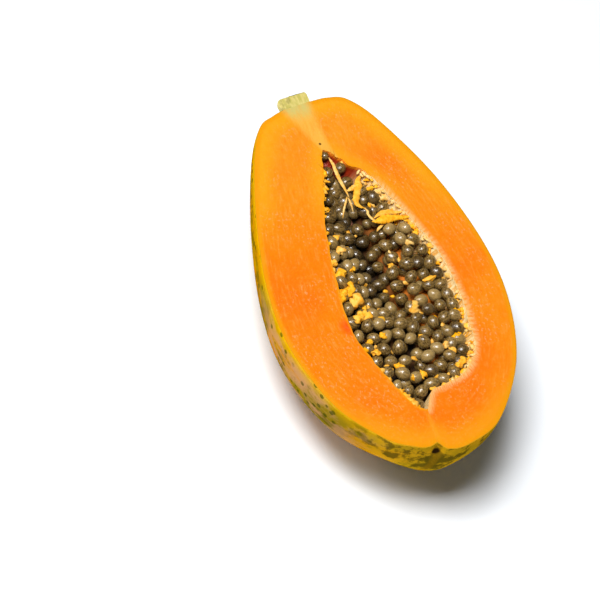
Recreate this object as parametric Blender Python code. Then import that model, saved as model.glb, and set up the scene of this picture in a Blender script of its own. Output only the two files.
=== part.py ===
"""Half of a ripe papaya, cut lengthwise and lying on its back with the cut face up.

The stem end points along +Y, the blossom end along -Y and the cut face along +Z. The origin
is on the surface that it rests on, under the middle of its outer box. Lists of points are in
millimetres, in plan, and run from the stem end to the blossom end.
"""

import math
import random

import bmesh
import bpy
from mathutils import Euler, Matrix, Vector
from mathutils.bvhtree import BVHTree

MM = 0.001

# Driving dimensions
FACE_HEIGHT = 52.4 * MM
DEPTH_RATIO = 1.0
CAVITY_DEPTH = 25.0 * MM
SEED_LENGTH = 6.6 * MM
SEED_WIDTH = 5.4 * MM
SEED_COUNT = 128
CLEARANCE = 0.35 * MM

# Outlines on the cut face. Each row of the four lists is one section across the fruit.
SKIN_LEFT = [
    (-7.5, 83.8), (-14.0, 82.3), (-20.0, 79.9), (-27.5, 75.2), (-35.3, 60.5), (-45.2, 30.5),
    (-52.3, -3.0), (-52.6, -32.0), (-43.2, -62.0), (-27.0, -80.7), (-15.5, -86.7),
    (-9.6, -87.9), (-5.2, -86.6),
]
SKIN_RIGHT = [
    (-7.5, 83.8), (0.5, 85.3), (9.0, 86.2), (18.0, 84.1), (28.6, 71.2), (43.9, 39.2),
    (53.0, 3.0), (53.2, -27.0), (44.5, -56.5), (26.3, -81.2), (9.0, -89.7),
    (-1.0, -90.4), (-5.2, -86.6),
]
CAVITY_LEFT = [
    (-3.1, 59.8), (-4.9, 56.0), (-6.0, 51.2), (-7.8, 46.0), (-10.8, 37.5), (-15.0, 24.5),
    (-20.2, -1.0), (-22.6, -27.5), (-17.6, -47.5), (-12.0, -61.5), (-8.6, -67.5),
    (-5.9, -70.3), (-3.4, -71.0),
]
CAVITY_RIGHT = [
    (-3.1, 59.8), (-0.2, 57.8), (2.4, 54.8), (6.2, 50.4), (13.6, 43.4), (23.0, 23.0),
    (31.0, -1.0), (32.0, -27.0), (28.6, -46.0), (20.5, -56.6), (8.5, -61.0),
    (1.6, -63.0), (-3.4, -71.0),
]
SPANS = len(SKIN_LEFT) - 1

# Five shallow ribs run from end to end, and deepen towards the blossom end.
RIB_COUNT = 5
RIB_HEIGHT = 0.008
RIB_AT_BLOSSOM = 0.06

# The blossom end is blunt: it is fuller under the face, and the notch in the face fades downwards.
END_FULLNESS = 10.0 * MM
END_FROM = 0.64
END_REACH = 0.2
END_LEAN = 0.17
NOTCH_DEPTH = 3.0 * MM
NOTCH_SHARE = 0.08

# The bowl of the seed cavity: its left wall is steep, and its right wall slopes
STEEP_WALL = 0.7
SLOPING_WALL = 1.35
CAVITY_TAPER = 0.7

# Mesh density
STEPS_PER_SPAN = 3
SKIN_STEPS = 20
CAVITY_STEPS = 14
SEED_SIDES = 7
SEED_RINGS = 4

# The stem stub, halved by the same cut
STUB_CENTRE = Vector((-7.4 * MM, 0.0, FACE_HEIGHT))
STUB_PROFILE = [
    (0.0, 75.0), (3.0, 75.5), (5.0, 77.2), (6.2, 80.0), (6.8, 83.0), (7.3, 86.2), (7.0, 88.4),
    (6.0, 89.3), (0.0, 89.6),
]
STUB_LEAN = math.radians(7.0)
STUB_STEPS = 12

# Placenta threads that bridge the cavity: points in millimetres, z from the cut face
THREAD_RADIUS = 0.9 * MM
THREADS = [
    [
        (1.0, 59.5, -3.0), (-0.6, 52.0, -2.8), (-0.7, 45.0, -3.0), (1.2, 37.0, -3.6), (5.0, 31.5, -4.6),
        (8.6, 26.5, -4.8), (12.0, 22.6, -3.8), (18.0, 21.4, -2.8), (28.0, 19.6, -3.0),
    ],
    [(14.5, 47.5, -3.2), (9.2, 44.0, -3.0), (5.6, 39.6, -3.2), (2.6, 35.2, -3.8)],
]

# How the seeds heap up: a level crop with a valley along the middle of the stem half
SEED_DRAW = 41
RIM_LEVEL = 3.5 * MM
VALLEY_LINE = (Vector((-2.0, 50.0)) * MM, Vector((3.0, -12.0)) * MM)
VALLEY_DEPTH = 10.5 * MM
VALLEY_WIDTH = 10.0 * MM
SEED_MARGIN = 3.5 * MM
SEED_SINK = 1.3 * MM
CORE_GAP = 0.6 * MM
CORE_ENDS = (0.13, 0.93)
RELAX_ROUNDS = 80
SETTLE_ROUNDS = 40


def smooth_point(points, t):
    """The point at share t of the smooth curve through points (Catmull-Rom)."""
    reach = min(max(t, 0.0), 1.0) * (len(points) - 1)
    k = min(int(reach), len(points) - 2)
    f = reach - k
    b = Vector(points[k])
    c = Vector(points[k + 1])
    a = Vector(points[k - 1]) if k > 0 else 2 * b - c
    d = Vector(points[k + 2]) if k + 2 < len(points) else 2 * c - b
    bend = (2 * b) + (c - a) * f + (2 * a - 5 * b + 4 * c - d) * f**2 + (3 * b - a - 3 * c + d) * f**3
    return bend * 0.5 * MM


def section(left, right, t):
    """Middle point and half-width vector, in plan, of the section at share t."""
    a = smooth_point(left, t)
    b = smooth_point(right, t)
    return (a + b) / 2, (b - a) / 2


def skin_point(t, angle):
    """Point on the skin. Angle 0 is the right edge of the cut face, and pi the left one."""
    middle, half = section(SKIN_LEFT, SKIN_RIGHT, t)
    rib = RIB_HEIGHT + (RIB_AT_BLOSSOM - RIB_HEIGHT) * max(0.0, t * 2.5 - 1.5) ** 2
    swell = 1.0 + rib * math.sin(RIB_COUNT * angle)
    flat = middle + half * math.cos(angle) * swell
    blunt = min(max((t - END_FROM) / END_REACH, 0.0), 1.0)
    blunt = blunt * blunt * (3 - 2 * blunt)
    fullness = END_FULLNESS * blunt
    drop = (half.length * DEPTH_RATIO + fullness) * math.sin(angle) * swell
    flat.x += END_LEAN * drop * blunt
    flat.y -= NOTCH_DEPTH * max(0.0, 1 - (1 - t) / NOTCH_SHARE) * math.sin(angle)
    return Vector((flat.x, flat.y, max(FACE_HEIGHT - drop, 0.0)))


WIDEST_CAVITY = max(section(CAVITY_LEFT, CAVITY_RIGHT, k / SPANS)[1].length for k in range(SPANS + 1))


def cavity_depth(t):
    half = section(CAVITY_LEFT, CAVITY_RIGHT, t)[1].length
    return CAVITY_DEPTH * (half / WIDEST_CAVITY) ** CAVITY_TAPER


def cavity_point(t, angle, gap=0.0):
    """Point on the cavity wall, or gap inside it. Angle 0 is the right rim, pi the left one."""
    middle, half = section(CAVITY_LEFT, CAVITY_RIGHT, t)
    c = math.cos(angle)
    slope = SLOPING_WALL + (STEEP_WALL - SLOPING_WALL) * (1 - c) / 2
    across = math.copysign(abs(c) ** slope, c)
    share = max(half.length - gap, 0.0) / max(half.length, 1e-9)
    flat = middle + half * across * share
    drop = max(cavity_depth(t) - gap, 0.0) * abs(math.sin(angle)) ** slope
    return Vector((flat.x, flat.y, FACE_HEIGHT - drop))


def material(name, colour, roughness):
    made = bpy.data.materials.new(name)
    made.use_nodes = True
    shader = made.node_tree.nodes["Principled BSDF"]
    shader.inputs["Base Color"].default_value = (*colour, 1.0)
    shader.inputs["Roughness"].default_value = roughness
    shader.inputs["Metallic"].default_value = 0.0
    made.diffuse_color = (*colour, 1.0)
    return made


def add_object(name, mesh, finish):
    obj = bpy.data.objects.new(name, mesh)
    mesh.materials.append(finish)
    bpy.context.scene.collection.objects.link(obj)
    return obj


def mesh_of_loops(name, loops):
    """Closed mesh lofted through closed loops of equal length. Points that meet are merged."""
    work = bmesh.new()
    rings = [[work.verts.new(point) for point in loop] for loop in loops]
    count = len(loops[0])
    for ring, after in zip(rings, rings[1:]):
        for k in range(count):
            n = (k + 1) % count
            work.faces.new((ring[k], ring[n], after[n], after[k]))
    work.faces.new(rings[0][::-1])
    work.faces.new(rings[-1])
    bmesh.ops.remove_doubles(work, verts=work.verts, dist=0.01 * MM)
    bmesh.ops.triangulate(work, faces=work.faces)
    bmesh.ops.recalc_face_normals(work, faces=work.faces)
    mesh = bpy.data.meshes.new(name)
    work.to_mesh(mesh)
    work.free()
    return mesh


def lofted_shell(name, loops):
    """As mesh_of_loops, for loops whose first and last collapse to a line and need no cap."""
    work = bmesh.new()
    rings = [[work.verts.new(point) for point in loop] for loop in loops]
    count = len(loops[0])
    for ring, after in zip(rings, rings[1:]):
        for k in range(count):
            n = (k + 1) % count
            work.faces.new((ring[k], ring[n], after[n], after[k]))
    bmesh.ops.remove_doubles(work, verts=work.verts, dist=0.01 * MM)
    bmesh.ops.recalc_face_normals(work, faces=work.faces)
    mesh = bpy.data.meshes.new(name)
    work.to_mesh(mesh)
    work.free()
    return mesh


def fruit_mesh():
    """Skin, cut face and seed cavity as one closed body."""
    loops = []
    sections = SPANS * STEPS_PER_SPAN
    for i in range(sections + 1):
        t = i / sections
        under = [skin_point(t, math.pi * k / SKIN_STEPS) for k in range(SKIN_STEPS + 1)]
        wall = [cavity_point(t, math.pi * (1 - k / CAVITY_STEPS)) for k in range(CAVITY_STEPS + 1)]
        loops.append(under + wall)
    return lofted_shell("fruit_half", loops)


def stub_mesh(name, swell):
    """Half a turned stub, its flat side in the plane of the cut. Swell is added all round."""
    work = bmesh.new()
    rings = []
    for step in range(STUB_STEPS + 1):
        angle = math.pi * step / STUB_STEPS
        ring = []
        for radius, y in STUB_PROFILE:
            wide = radius * MM + (swell if radius > 0 else 0.0)
            along = y * MM + swell * (1 if y > STUB_PROFILE[3][1] else -1)
            ring.append(work.verts.new((wide * math.cos(angle), along, -wide * math.sin(angle))))
        rings.append(ring)
    for ring, after in zip(rings, rings[1:]):
        for k in range(len(STUB_PROFILE) - 1):
            work.faces.new((ring[k], ring[k + 1], after[k + 1], after[k]))
    bmesh.ops.remove_doubles(work, verts=work.verts, dist=0.01 * MM)
    bmesh.ops.holes_fill(work, edges=work.edges)
    lean_about = Vector((0.0, STUB_PROFILE[3][1] * MM, 0.0))
    for vert in work.verts:
        height = max(vert.co.y - lean_about.y, 0.0)
        vert.co.y += math.tan(STUB_LEAN) * vert.co.x * height / (6.0 * MM)
        vert.co.z += swell if abs(vert.co.z) < 1e-7 else 0.0
    bmesh.ops.translate(work, verts=work.verts, vec=STUB_CENTRE)
    bmesh.ops.triangulate(work, faces=work.faces)
    bmesh.ops.recalc_face_normals(work, faces=work.faces)
    mesh = bpy.data.meshes.new(name)
    work.to_mesh(mesh)
    work.free()
    return mesh


def thread_mesh(points, radius):
    """A round thread on a smooth curve through points."""
    curve = bpy.data.curves.new("thread", "CURVE")
    curve.dimensions = "3D"
    curve.bevel_depth = radius
    curve.bevel_resolution = 1
    curve.use_fill_caps = True
    steps = 2 * (len(points) - 1)
    spline = curve.splines.new("POLY")
    spline.points.add(steps)
    for k in range(steps + 1):
        x, y, z = smooth_point(points, k / steps)
        spline.points[k].co = (x, y, z + FACE_HEIGHT, 1.0)
    obj = bpy.data.objects.new("thread", curve)
    bpy.context.scene.collection.objects.link(obj)
    bpy.context.view_layer.update()
    mesh = bpy.data.meshes.new_from_object(obj.evaluated_get(bpy.context.evaluated_depsgraph_get()))
    bpy.data.objects.remove(obj)
    work = bmesh.new()
    work.from_mesh(mesh)
    bmesh.ops.remove_doubles(work, verts=work.verts, dist=0.01 * MM)
    bmesh.ops.recalc_face_normals(work, faces=work.faces)
    work.to_mesh(mesh)
    work.free()
    return mesh


def combine(target, meshes, operation, solver="EXACT"):
    """Applies one Boolean of the meshes to target, and removes the helpers."""
    helpers = bpy.data.collections.new("helpers")
    bpy.context.scene.collection.children.link(helpers)
    for k, mesh in enumerate(meshes):
        helper = bpy.data.objects.new(f"helper_{k}", mesh)
        helpers.objects.link(helper)
    cut = target.modifiers.new("combine", "BOOLEAN")
    cut.operation = operation
    cut.operand_type = "COLLECTION"
    cut.collection = helpers
    cut.solver = solver
    bpy.context.view_layer.update()
    made = bpy.data.meshes.new_from_object(target.evaluated_get(bpy.context.evaluated_depsgraph_get()))
    target.modifiers.clear()
    made.name = target.name
    target.data = made
    for helper in list(helpers.objects):
        bpy.data.objects.remove(helper)
    bpy.data.collections.remove(helpers)


def drop_crumbs(obj):
    """Removes loose chips that a Boolean left, and keeps the largest body."""
    work = bmesh.new()
    work.from_mesh(obj.data)
    waiting = set(work.verts)
    bodies = []
    while waiting:
        body = {waiting.pop()}
        edge = list(body)
        while edge:
            near = {link.other_vert(vert) for vert in edge for link in vert.link_edges} - body
            body |= near
            edge = list(near)
        waiting -= body
        bodies.append(body)
    bodies.sort(key=len)
    crumbs = [vert for body in bodies[:-1] for vert in body]
    bmesh.ops.delete(work, geom=crumbs, context="VERTS")
    work.to_mesh(obj.data)
    work.free()


def rim_outline():
    """The rim of the cavity in plan, as one closed loop."""
    steps = SPANS * 4
    left = [smooth_point(CAVITY_LEFT, k / steps) for k in range(steps)]
    right = [smooth_point(CAVITY_RIGHT, 1 - k / steps) for k in range(steps)]
    return left + right


def nearest_on(outline, point):
    """Distance to the outline, negative outside it, and the nearest point on it."""
    best = None
    inside = False
    for a, b in zip(outline, outline[1:] + outline[:1]):
        edge = b - a
        share = min(max((point - a).dot(edge) / max(edge.length_squared, 1e-12), 0.0), 1.0)
        foot = a + edge * share
        if best is None or (point - foot).length < best[0]:
            best = ((point - foot).length, foot)
        if (a.y > point.y) != (b.y > point.y):
            if point.x < a.x + (point.y - a.y) / (b.y - a.y) * edge.x:
                inside = not inside
    return (best[0] if inside else -best[0]), best[1]


def heap_depth(point):
    """How far under the cut face the middles of the seeds lie at this place in plan."""
    a, b = VALLEY_LINE
    line = b - a
    share = min(max((point - a).dot(line) / line.length_squared, 0.0), 1.0)
    off = (point - (a + line * share)).length
    return RIM_LEVEL + VALLEY_DEPTH * math.exp(-((off / VALLEY_WIDTH) ** 2))


def seed_places(count):
    """Middles of the seeds in plan: drawn at random, then pushed apart until they sit evenly."""
    draw = random.Random(SEED_DRAW)
    outline = rim_outline()
    low = Vector((min(p.x for p in outline), min(p.y for p in outline)))
    high = Vector((max(p.x for p in outline), max(p.y for p in outline)))
    places = []
    while len(places) < count:
        point = Vector((draw.uniform(low.x, high.x), draw.uniform(low.y, high.y)))
        if nearest_on(outline, point)[0] > SEED_MARGIN:
            places.append(point)
    reach = 1.25 * SEED_LENGTH
    for _ in range(RELAX_ROUNDS):
        moves = [Vector((0.0, 0.0)) for _ in places]
        for i, a in enumerate(places):
            for j in range(i):
                apart = a - places[j]
                gap = apart.length
                if 1e-9 < gap < reach:
                    push = apart / gap * (reach - gap) * 0.2
                    moves[i] += push
                    moves[j] -= push
        for i, move in enumerate(moves):
            point = places[i] + move
            room, foot = nearest_on(outline, point)
            if room < SEED_MARGIN:
                inward = (point - foot) * (1 if room > 0 else -1)
                point = foot + inward.normalized() * SEED_MARGIN
            places[i] = point
    return places


def seed_mesh(turn, size):
    """One seed at the origin: a blunt ellipsoid, a little narrower where its string held it."""
    work = bmesh.new()
    bmesh.ops.create_uvsphere(work, u_segments=SEED_SIDES, v_segments=SEED_RINGS, radius=0.5)
    bmesh.ops.triangulate(work, faces=work.faces)
    rotation = turn.to_matrix()
    for vert in work.verts:
        y, z, x = vert.co
        waist = 1.0 - 0.25 * max(x, 0.0)
        vert.co = rotation @ Vector((x * SEED_LENGTH, y * SEED_WIDTH * waist, z * SEED_WIDTH * waist)) * size
    mesh = bpy.data.meshes.new("seed")
    work.to_mesh(mesh)
    work.free()
    return mesh


def settle(corners, spot, gap, walls):
    """Pushes corners, carried at spot, clear of the walls and of the face. None if they do not fit."""
    top = max(corner.z for corner in corners)
    for _ in range(SETTLE_ROUNDS):
        spot.z = min(spot.z, FACE_HEIGHT - gap - top)
        worst = None
        for corner in corners:
            foot, normal, _, _ = walls.find_nearest(spot + corner)
            short = gap - (spot + corner - foot).dot(normal)
            if short > 0 and (worst is None or short > worst[0]):
                worst = (short, normal)
        if worst is None:
            return spot
        spot = spot + worst[1] * (worst[0] + 0.02 * MM)
    return None


def settled_seeds(walls):
    """The seeds at their places in the heap, the long axis of each leaning at random."""
    draw = random.Random(SEED_DRAW + 1)
    meshes = []
    for place in seed_places(SEED_COUNT):
        turn = Euler((0.0, draw.uniform(-0.7, 0.7), draw.uniform(0.0, math.pi)))
        mesh = seed_mesh(turn, draw.uniform(0.9, 1.06))
        depth = heap_depth(place) + draw.uniform(-1.0, 1.2) * MM
        corners = [vert.co.copy() for vert in mesh.vertices]
        spot = settle(corners, Vector((place.x, place.y, FACE_HEIGHT - depth)), CLEARANCE, walls)
        if spot is not None:
            mesh.transform(Matrix.Translation(spot))
            meshes.append(mesh)
    return meshes


def core_mesh(walls):
    """The pulp and lower seeds under the visible ones: it fills the cavity up to the heap."""
    loops = []
    sections = SPANS * STEPS_PER_SPAN
    arc = 10
    top = 8
    first, last = (round(end * sections) for end in CORE_ENDS)
    for i in range(first, last + 1):
        t = i / sections
        depth = cavity_depth(t) - CORE_GAP
        rim = min(RIM_LEVEL + SEED_SINK, 0.5 * depth)
        low = math.asin((rim / depth) ** (1 / SLOPING_WALL))
        high = math.pi - math.asin((rim / depth) ** (1 / STEEP_WALL))
        angles = [low + (high - low) * k / arc for k in range(arc + 1)]
        loop = [cavity_point(t, angle, CORE_GAP) for angle in angles]
        a, b = loop[-1], loop[0]
        for k in range(1, top):
            spot = a.lerp(b, k / top)
            bulge = math.sin(math.pi * k / top)
            sink = min(heap_depth(spot.xy) + SEED_SINK, rim + (0.75 * depth - rim) * bulge)
            loop.append(Vector((spot.x, spot.y, FACE_HEIGHT - max(sink, rim))))
        loops.append([settle([Vector()], point, CORE_GAP, walls) or point for point in loop])
    return mesh_of_loops("seeds", loops)


def build():
    for obj in list(bpy.data.objects):
        bpy.data.objects.remove(obj)
    orange = material("ripe flesh and skin", (0.95, 0.33, 0.02), 0.45)
    green = material("stem green", (0.60, 0.62, 0.22), 0.6)
    olive = material("seed coat", (0.10, 0.085, 0.045), 0.2)

    fruit = add_object("fruit_half", fruit_mesh(), orange)
    combine(fruit, [stub_mesh("socket", CLEARANCE)], "DIFFERENCE")
    combine(fruit, [thread_mesh(points, THREAD_RADIUS) for points in THREADS], "UNION")
    add_object("stem_stub", stub_mesh("stem_stub", 0.0), green)

    walls = BVHTree.FromPolygons(
        [vert.co for vert in fruit.data.vertices], [face.vertices for face in fruit.data.polygons]
    )
    seeds = add_object("seeds", core_mesh(walls), olive)
    combine(seeds, settled_seeds(walls), "UNION", "MANIFOLD")
    combine(seeds, [thread_mesh(points, THREAD_RADIUS + CLEARANCE) for points in THREADS], "DIFFERENCE", "MANIFOLD")
    drop_crumbs(seeds)
    for obj in bpy.context.scene.objects:
        obj.data.shade_smooth()
        obj.data.set_sharp_from_angle(angle=math.radians(35))


build()
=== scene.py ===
"""Half a ripe papaya, cut lengthwise and lying on its back with the cut face up.

The stem end points along +Y, the blossom end along -Y. Lists of outline points are in
millimetres, in plan, and run from the stem end to the blossom end.
"""

import math
import random

import bmesh
import bpy
import numpy as np
from mathutils import Euler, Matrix, Quaternion, Vector, noise
from mathutils.bvhtree import BVHTree


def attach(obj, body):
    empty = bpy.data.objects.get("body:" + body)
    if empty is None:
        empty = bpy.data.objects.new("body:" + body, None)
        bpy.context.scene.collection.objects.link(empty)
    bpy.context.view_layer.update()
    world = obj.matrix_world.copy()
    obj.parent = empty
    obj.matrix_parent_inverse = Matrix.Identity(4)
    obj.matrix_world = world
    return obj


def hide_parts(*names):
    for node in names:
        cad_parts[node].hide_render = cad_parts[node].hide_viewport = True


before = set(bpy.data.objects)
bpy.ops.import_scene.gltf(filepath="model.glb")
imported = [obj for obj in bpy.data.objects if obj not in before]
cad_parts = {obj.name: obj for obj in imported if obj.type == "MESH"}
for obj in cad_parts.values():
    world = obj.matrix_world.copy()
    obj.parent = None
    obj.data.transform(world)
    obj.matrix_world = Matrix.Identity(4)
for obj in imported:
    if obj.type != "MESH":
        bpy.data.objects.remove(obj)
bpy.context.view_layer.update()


# The half fruit: a thin skin, soft orange flesh and the bowl of the seed cavity.
# It grew as one piece, and a knife laid it open from the stem to the blossom end.
# Five shallow ribs run lengthwise and deepen to creases at the blossom end.

MM = 0.001
FACE_HEIGHT = 52.4 * MM
CAVITY_DEPTH = 25.0 * MM

SKIN_LEFT = [
    (-7.5, 83.8), (-14.0, 82.3), (-20.0, 79.9), (-27.5, 75.2), (-35.3, 60.5), (-45.2, 30.5),
    (-52.3, -3.0), (-52.6, -32.0), (-43.2, -62.0), (-27.0, -80.7), (-15.5, -86.7),
    (-9.6, -87.9), (-5.2, -86.6),
]
SKIN_RIGHT = [
    (-7.5, 83.8), (0.5, 85.3), (9.0, 86.2), (18.0, 84.1), (28.6, 71.2), (43.9, 39.2),
    (53.0, 3.0), (53.2, -27.0), (44.5, -56.5), (26.3, -81.2), (9.0, -89.7),
    (-1.0, -90.4), (-5.2, -86.6),
]
CAVITY_LEFT = [
    (-3.1, 59.8), (-4.9, 56.0), (-6.0, 51.2), (-7.8, 46.0), (-10.8, 37.5), (-15.0, 24.5),
    (-20.2, -1.0), (-22.6, -27.5), (-17.6, -47.5), (-12.0, -61.5), (-8.6, -67.5),
    (-5.9, -70.3), (-3.4, -71.0),
]
CAVITY_RIGHT = [
    (-3.1, 59.8), (-0.2, 57.8), (2.4, 54.8), (6.2, 50.4), (13.6, 43.4), (23.0, 23.0),
    (31.0, -1.0), (32.0, -27.0), (28.6, -46.0), (20.5, -56.6), (8.5, -61.0),
    (1.6, -63.0), (-3.4, -71.0),
]
SPANS = len(SKIN_LEFT) - 1

RIB_COUNT = 5
RIB_HEIGHT = 0.008
RIB_AT_BLOSSOM = 0.06
END_FULLNESS = 10.0 * MM
END_FROM = 0.64
END_REACH = 0.2
END_LEAN = 0.17
NOTCH_DEPTH = 3.0 * MM
NOTCH_SHARE = 0.08
STEEP_WALL = 0.7
SLOPING_WALL = 1.35
CAVITY_TAPER = 0.7

ROWS_PER_SPAN = 14
SKIN_STEPS = 96
FACE_STEPS = 28
WALL_STEPS = 60
RIM_WOBBLE = 0.95 * MM
WOBBLE_REACH = 4.0 * MM
WALL_RIDGE = 0.45 * MM
GRAIN_LENGTH = 176.0
SKIN_GRAIN = 10.0
LEFT_FACE_GRAIN = 100.0
WALL_GRAIN = 200.0
WALL_GRAIN_SPAN = 60.0
RIGHT_FACE_GRAIN = 300.0
WELD_GAP = 0.002 * MM
STALK_WIDTH = 9.6
STALK_NARROWING = 6.2


def smooth_point(points, t):
    """The point at share t of the smooth curve through points."""
    reach = min(max(t, 0.0), 1.0) * (len(points) - 1)
    k = min(int(reach), len(points) - 2)
    f = reach - k
    b = Vector(points[k])
    c = Vector(points[k + 1])
    a = Vector(points[k - 1]) if k > 0 else 2 * b - c
    d = Vector(points[k + 2]) if k + 2 < len(points) else 2 * c - b
    bend = (2 * b) + (c - a) * f + (2 * a - 5 * b + 4 * c - d) * f**2 + (3 * b - a - 3 * c + d) * f**3
    return bend * 0.5 * MM


def section(left, right, t):
    """Middle point and half-width vector, in plan, of the section at share t."""
    a = smooth_point(left, t)
    b = smooth_point(right, t)
    return (a + b) / 2, (b - a) / 2


def skin_point(t, angle):
    """Point on the skin. Angle 0 is the right edge of the cut face, and pi the left one."""
    middle, half = section(SKIN_LEFT, SKIN_RIGHT, t)
    rib = RIB_HEIGHT + (RIB_AT_BLOSSOM - RIB_HEIGHT) * max(0.0, t * 2.5 - 1.5) ** 2
    swell = 1.0 + rib * math.sin(RIB_COUNT * angle)
    flat = middle + half * math.cos(angle) * swell
    blunt = min(max((t - END_FROM) / END_REACH, 0.0), 1.0)
    blunt = blunt * blunt * (3 - 2 * blunt)
    drop = (half.length + END_FULLNESS * blunt) * math.sin(angle) * swell
    flat.x += END_LEAN * drop * blunt
    flat.y -= NOTCH_DEPTH * max(0.0, 1 - (1 - t) / NOTCH_SHARE) * math.sin(angle)
    return Vector((flat.x, flat.y, max(FACE_HEIGHT - drop, 0.0)))


WIDEST_CAVITY = max(section(CAVITY_LEFT, CAVITY_RIGHT, k / SPANS)[1].length for k in range(SPANS + 1))


def cavity_depth(t):
    half = section(CAVITY_LEFT, CAVITY_RIGHT, t)[1].length
    return CAVITY_DEPTH * (half / WIDEST_CAVITY) ** CAVITY_TAPER


def cavity_point(t, angle, gap=0.0):
    """Point on the cavity wall, or gap inside it. Angle 0 is the right rim, pi the left one."""
    middle, half = section(CAVITY_LEFT, CAVITY_RIGHT, t)
    c = math.cos(angle)
    slope = SLOPING_WALL + (STEEP_WALL - SLOPING_WALL) * (1 - c) / 2
    across = math.copysign(abs(c) ** slope, c)
    share = max(half.length - gap, 0.0) / max(half.length, 1e-9)
    flat = middle + half * across * share
    drop = max(cavity_depth(t) - gap, 0.0) * abs(math.sin(angle)) ** slope
    return Vector((flat.x, flat.y, FACE_HEIGHT - drop))


def rim_wobble(t, side):
    """How far the knife-cut rim strays inwards at share t, with the small nicks of torn seed strings."""
    slow = noise.noise((t * 22.0, side * 7.3, 1.0))
    quick = noise.noise((t * 75.0, side * 3.1, 4.0))
    fade = min(1.0, 12 * t, 12 * (1 - t))
    return RIM_WOBBLE * (slow + 0.6 * quick) * fade


def wall_ridge(t, angle):
    """Height of the soft ridges that run down the cavity wall between the rows of seeds."""
    across = noise.noise((t * 62.0, angle * 1.1, 0.0)) + 0.5 * noise.noise((t * 140.0, angle * 2.5, 5.0))
    return WALL_RIDGE * across * min(1.0, 6 * math.sin(angle)) * min(1.0, 10 * t, 10 * (1 - t))


def face_share(k):
    """Share from one edge of the cut face to the other, with steps closer at both edges."""
    return (1 - math.cos(math.pi * k / FACE_STEPS)) / 2


SKIN, FLESH, WALL = 0, 1, 2
rows = SPANS * ROWS_PER_SPAN
points = []
grain = []
kinds = [SKIN] * SKIN_STEPS + [FLESH] * FACE_STEPS + [WALL] * WALL_STEPS + [FLESH] * FACE_STEPS
for row in range(rows + 1):
    t = row / rows
    skin = [skin_point(t, math.pi * k / SKIN_STEPS) for k in range(SKIN_STEPS + 1)]
    middle, half = section(CAVITY_LEFT, CAVITY_RIGHT, t)
    inward = half.normalized() if half.length > 1e-6 else Vector((0.0, 0.0))
    room = min(1.0, half.length / WOBBLE_REACH)
    wall = []
    for k in range(WALL_STEPS + 1):
        angle = math.pi * (1 - k / WALL_STEPS)
        spot = cavity_point(t, angle, wall_ridge(t, angle))
        near_rim = max(0.0, 1 - (FACE_HEIGHT - spot.z) / WOBBLE_REACH)
        stray = rim_wobble(t, 0) if angle > math.pi / 2 else -rim_wobble(t, 1)
        wall.append(spot + (inward * stray * near_rim * room).to_3d())
    left = [skin[-1].lerp(wall[0], face_share(k)) for k in range(FACE_STEPS + 1)]
    right = [wall[-1].lerp(skin[0], face_share(k)) for k in range(FACE_STEPS + 1)]
    points += skin[:-1] + left[:-1] + wall[:-1] + right[:-1]
    lengthwise = t * GRAIN_LENGTH
    grain += [(SKIN_GRAIN * math.pi * k / SKIN_STEPS, lengthwise) for k in range(SKIN_STEPS)]
    grain += [(LEFT_FACE_GRAIN + (left[0] - spot).length / MM, lengthwise) for spot in left[:-1]]
    grain += [(WALL_GRAIN + WALL_GRAIN_SPAN * k / WALL_STEPS, lengthwise) for k in range(WALL_STEPS)]
    grain += [(RIGHT_FACE_GRAIN + (right[-1] - spot).length / MM, lengthwise) for spot in right[:-1]]

around = len(kinds)
faces = []
face_kinds = []
for row in range(rows):
    for k in range(around):
        n = (k + 1) % around
        faces.append((row * around + k, row * around + n, (row + 1) * around + n, (row + 1) * around + k))
        face_kinds.append(kinds[k])


def outline_gap(spots, outline):
    """Distance in plan, in millimetres, from each spot to a closed outline."""
    a = np.array(outline)
    edge = np.roll(a, -1, axis=0) - a
    size = np.maximum((edge**2).sum(1), 1e-12)
    best = np.full(len(spots), 1e9)
    for start, run, square in zip(a, edge, size):
        share = np.clip(((spots - start) @ run) / square, 0, 1)
        best = np.minimum(best, np.hypot(*(spots - start - share[:, None] * run).T))
    return best / MM


def outline_of(left, right, steps=SPANS * 8):
    there = [smooth_point(left, k / steps) for k in range(steps)]
    back = [smooth_point(right, 1 - k / steps) for k in range(steps)]
    return [tuple(point) for point in there + back]


plan = np.array([point.xy for point in points])
skin_gap = outline_gap(plan, outline_of(SKIN_LEFT, SKIN_RIGHT))
rim_gap = outline_gap(plan, outline_of(CAVITY_LEFT, CAVITY_RIGHT))

# The pale core of the stalk runs on from the stub to the tip of the cavity.
stalk_top = np.array(SKIN_LEFT[0]) * MM
stalk_foot = (np.array(CAVITY_LEFT[0]) + (1.8, 0.0)) * MM
run = stalk_foot - stalk_top
share = np.clip(((plan - stalk_top) @ run) / (run @ run), -0.4, 1.25)
aside = np.hypot(*(plan - stalk_top - share[:, None] * run).T) / MM
core = STALK_WIDTH - STALK_NARROWING * np.clip(share, 0, 1)
stalk = np.clip((core - aside) / (0.8 * core), 0, 1)

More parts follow.
